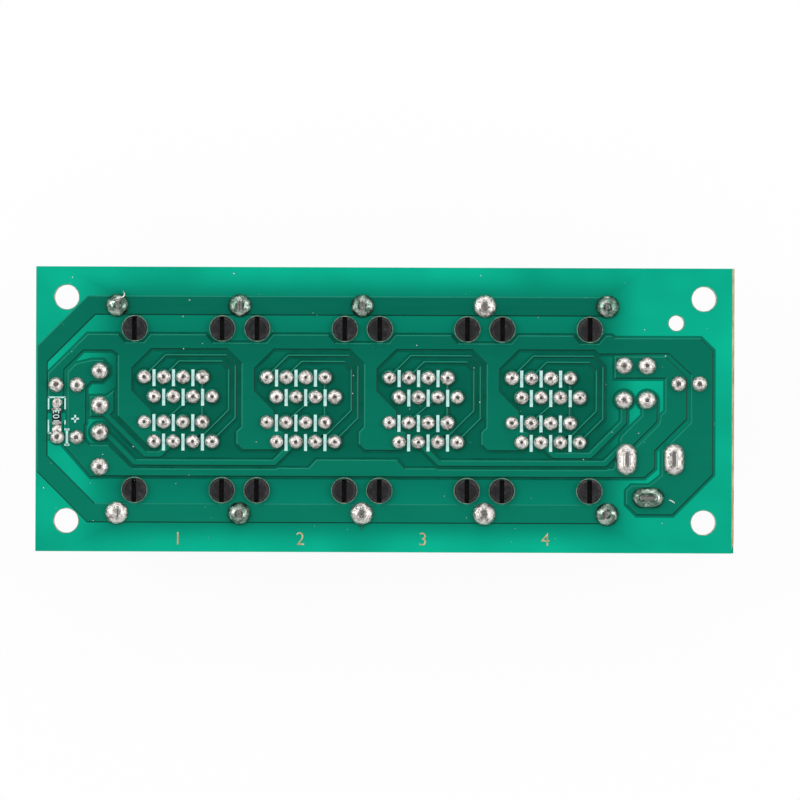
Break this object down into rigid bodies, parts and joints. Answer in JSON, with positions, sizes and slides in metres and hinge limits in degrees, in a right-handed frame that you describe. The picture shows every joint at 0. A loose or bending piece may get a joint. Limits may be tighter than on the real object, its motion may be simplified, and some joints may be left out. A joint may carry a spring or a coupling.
{
  "type": "power over ethernet injector board",
  "caption": "Long green circuit board, solder side up, with two rows of shielded modular jacks and a barrel power inlet below that feeds one row.",
  "frame": {"origin": "middle of the board in X and Y, on the plane that the jack tops rest on", "axes": "+X along the board to the end with the power inlet, +Y to the row of plain data jacks, +Z out of the solder side"},
  "size_m": [0.0912, 0.0372, 0.0162],
  "materials": {
    "laminate": "gloss",
    "masked_copper": "gloss",
    "solder": "gloss",
    "black_moulding": "satin",
    "plated_steel": "satin",
    "gold_plate": "gloss",
    "insert_moulding": "satin",
    "fuse_resin": "gloss",
    "tinned_wire": "satin",
    "can_sleeve": "gloss",
    "lamp_resin": "gloss",
    "resistor_ceramic": "satin"
  },
  "bodies": {
    "root": {"capacitor_leads": "tinned_wire", "capacitor_left": "can_sleeve", "capacitor_right": "can_sleeve", "circuit_board": "laminate", "data_tracks": "masked_copper", "feed_tracks": "masked_copper", "fuse_1": "fuse_resin", "fuse_2": "fuse_resin", "fuse_3": "fuse_resin", "fuse_4": "fuse_resin", "fuse_leads": "tinned_wire", "inlet_body": "black_moulding", "inlet_centre_pin": "plated_steel", "inlet_sleeve_spring": "plated_steel", "inlet_switch_contact": "plated_steel", "jack_contacts_1": "gold_plate", "jack_contacts_2": "gold_plate", "jack_contacts_3": "gold_plate", "jack_contacts_4": "gold_plate", "jack_contacts_5": "gold_plate", "jack_contacts_6": "gold_plate", "jack_contacts_7": "gold_plate", "jack_contacts_8": "gold_plate", "jack_housing_1": "black_moulding", "jack_housing_2": "black_moulding", "jack_housing_3": "black_moulding", "jack_housing_4": "black_moulding", "jack_housing_5": "black_moulding", "jack_housing_6": "black_moulding", "jack_housing_7": "black_moulding", "jack_housing_8": "black_moulding", "jack_insert_1": "insert_moulding", "jack_insert_2": "insert_moulding", "jack_insert_3": "insert_moulding", "jack_insert_4": "insert_moulding", "jack_insert_5": "insert_moulding", "jack_insert_6": "insert_moulding", "jack_insert_7": "insert_moulding", "jack_insert_8": "insert_moulding", "jack_shield_1": "plated_steel", "jack_shield_2": "plated_steel", "jack_shield_3": "plated_steel", "jack_shield_4": "plated_steel", "jack_shield_5": "plated_steel", "jack_shield_6": "plated_steel", "jack_shield_7": "plated_steel", "jack_shield_8": "plated_steel", "lamp_leads": "tinned_wire", "lamp_lens": "lamp_resin", "lamp_track": "masked_copper", "lead_joints": "solder", "power_joints": "solder", "resistor_body": "resistor_ceramic", "resistor_ends": "solder", "return_pour": "masked_copper", "shield_joints": "solder", "shield_track": "masked_copper", "signal_joints": "solder", "supply_bus": "masked_copper"}
  },
  "joints": []
}
